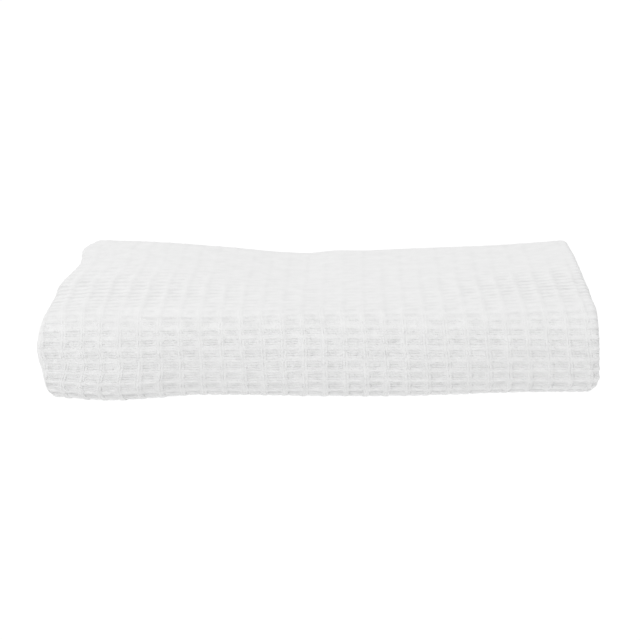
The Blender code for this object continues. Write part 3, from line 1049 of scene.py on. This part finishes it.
def cotton_material():
    material = bpy.data.materials.new("white waffle cotton")
    material.use_nodes = True
    tree = material.node_tree
    shader = tree.nodes["Principled BSDF"]
    cloth = add_node(tree, "ShaderNodeUVMap", uv_map="cloth")
    open_cells = add_node(tree, "ShaderNodeAttribute", attribute_name="openness").outputs["Fac"]
    nap = add_node(tree, "ShaderNodeAttribute", attribute_name="nap").outputs["Fac"]
    patchy = add_node(tree, NOISE, {"Vector": cloth, "Scale": PATCHES_A_METRE, "Detail": 2.0})
    a, b, along = places_in_cell(tree, cloth)
    on_rib = bell_of(tree, a, RIB_WIDTH)
    threads = thread_pattern(tree, a, b, along, on_rib)
    line = line_pattern(tree, a, b, on_rib, open_cells, nap)
    height = height_pattern(tree, cloth, threads, line, nap)
    bump = add_node(tree, "ShaderNodeBump", {"Height": height, "Strength": 1.0, "Distance": 1.0})
    tree.links.new(bump.outputs[0], shader.inputs["Normal"])
    # The colour runs from bleached cotton into painted shade, with painted highlight on floats and ribs
    patchy_painted_shade = painted_shade_pattern(tree, a, b, on_rib, line, open_cells, nap, patchy)
    colours = {"Factor": patchy_painted_shade, "A": linear(COTTON_TOP), "B": linear(COTTON_IN_PAINTED_SHADE)}
    colour = add_node(tree, "ShaderNodeMix", colours, data_type="RGBA")
    tree.links.new(colour.outputs[2], shader.inputs["Base Color"])
    rough = {"Value": patchy, "To Min": 0.86, "To Max": 1.0}
    roughness = add_node(tree, "ShaderNodeMapRange", rough)
    tree.links.new(roughness.outputs[0], shader.inputs["Roughness"])
    shader.inputs["Metallic"].default_value = 0.0
    shader.inputs["IOR"].default_value = 1.47
    shader.inputs["Specular IOR Level"].default_value = 0.2
    shader.inputs["Sheen Weight"].default_value = 0.12
    shader.inputs["Sheen Roughness"].default_value = 0.6
    shader.inputs["Sheen Tint"].default_value = (1.0, 1.0, 1.0, 1.0)
    return material


mesh.materials.append(cotton_material())
print("nodes in the cotton:", len(mesh.materials[0].node_tree.nodes))

# %% [markdown]
# ## The studio
#
# White paper under and behind, lit evenly from all round. A wide, faint panel hangs overhead, and a
# smaller, stronger one stands above the camera's left shoulder, so the top is lightest and the
# right foot darkest.
#
# Plain white paper would show the towel's shadow, and the real picture has none. So the paper glows
# by itself and is dark underneath its glow, which leaves nothing for a shadow to dim.

# %% Floor, lights and finish
PAPER = "#505050"
PAPER_GLOW = 0.95
ROOM_LIGHT = 0.833
CEILING_WATTS = 4.2
LEFT_WATTS = 26.1


def paper_material():
    material = bpy.data.materials.new("white paper floor")
    material.use_nodes = True
    shader = material.node_tree.nodes["Principled BSDF"]
    shader.inputs["Base Color"].default_value = linear(PAPER)
    shader.inputs["Roughness"].default_value = 0.9
    shader.inputs["Specular IOR Level"].default_value = 0.1
    shader.inputs["Emission Color"].default_value = (1.0, 1.0, 1.0, 1.0)
    shader.inputs["Emission Strength"].default_value = PAPER_GLOW
    return material


def make_floor():
    bm = bmesh.new()
    bmesh.ops.create_grid(bm, x_segments=8, y_segments=8, size=4.0)
    mesh = bpy.data.meshes.new("paper_floor")
    bm.to_mesh(mesh)
    bm.free()
    mesh.materials.append(paper_material())
    floor = bpy.data.objects.new("paper_floor", mesh)
    bpy.context.scene.collection.objects.link(floor)


def soft_panel(name, place, aim, size, watts):
    light = bpy.data.lights.new(name, "AREA")
    light.shape = "SQUARE"
    light.size = size
    light.energy = watts
    panel = bpy.data.objects.new(name, light)
    panel.location = place
    panel.rotation_mode = "QUATERNION"
    panel.rotation_quaternion = (Vector(aim) - Vector(place)).to_track_quat("-Z", "Y")
    bpy.context.scene.collection.objects.link(panel)


def even_light(strength):
    world = bpy.data.worlds.new("white studio")
    world.use_nodes = True
    world.node_tree.nodes["Background"].inputs["Color"].default_value = (1.0, 1.0, 1.0, 1.0)
    world.node_tree.nodes["Background"].inputs["Strength"].default_value = strength
    bpy.context.scene.world = world


make_floor()
even_light(ROOM_LIGHT)
soft_panel("ceiling panel", (-0.8, 0.3, 4.0), (-0.8, 0.3, 0.0), 4.0, CEILING_WATTS)
soft_panel("left panel", (-1.6, -1.2, 2.6), (0.0, 0.0, 0.03), 1.0, LEFT_WATTS)
bpy.context.scene.view_settings.view_transform = "Standard"
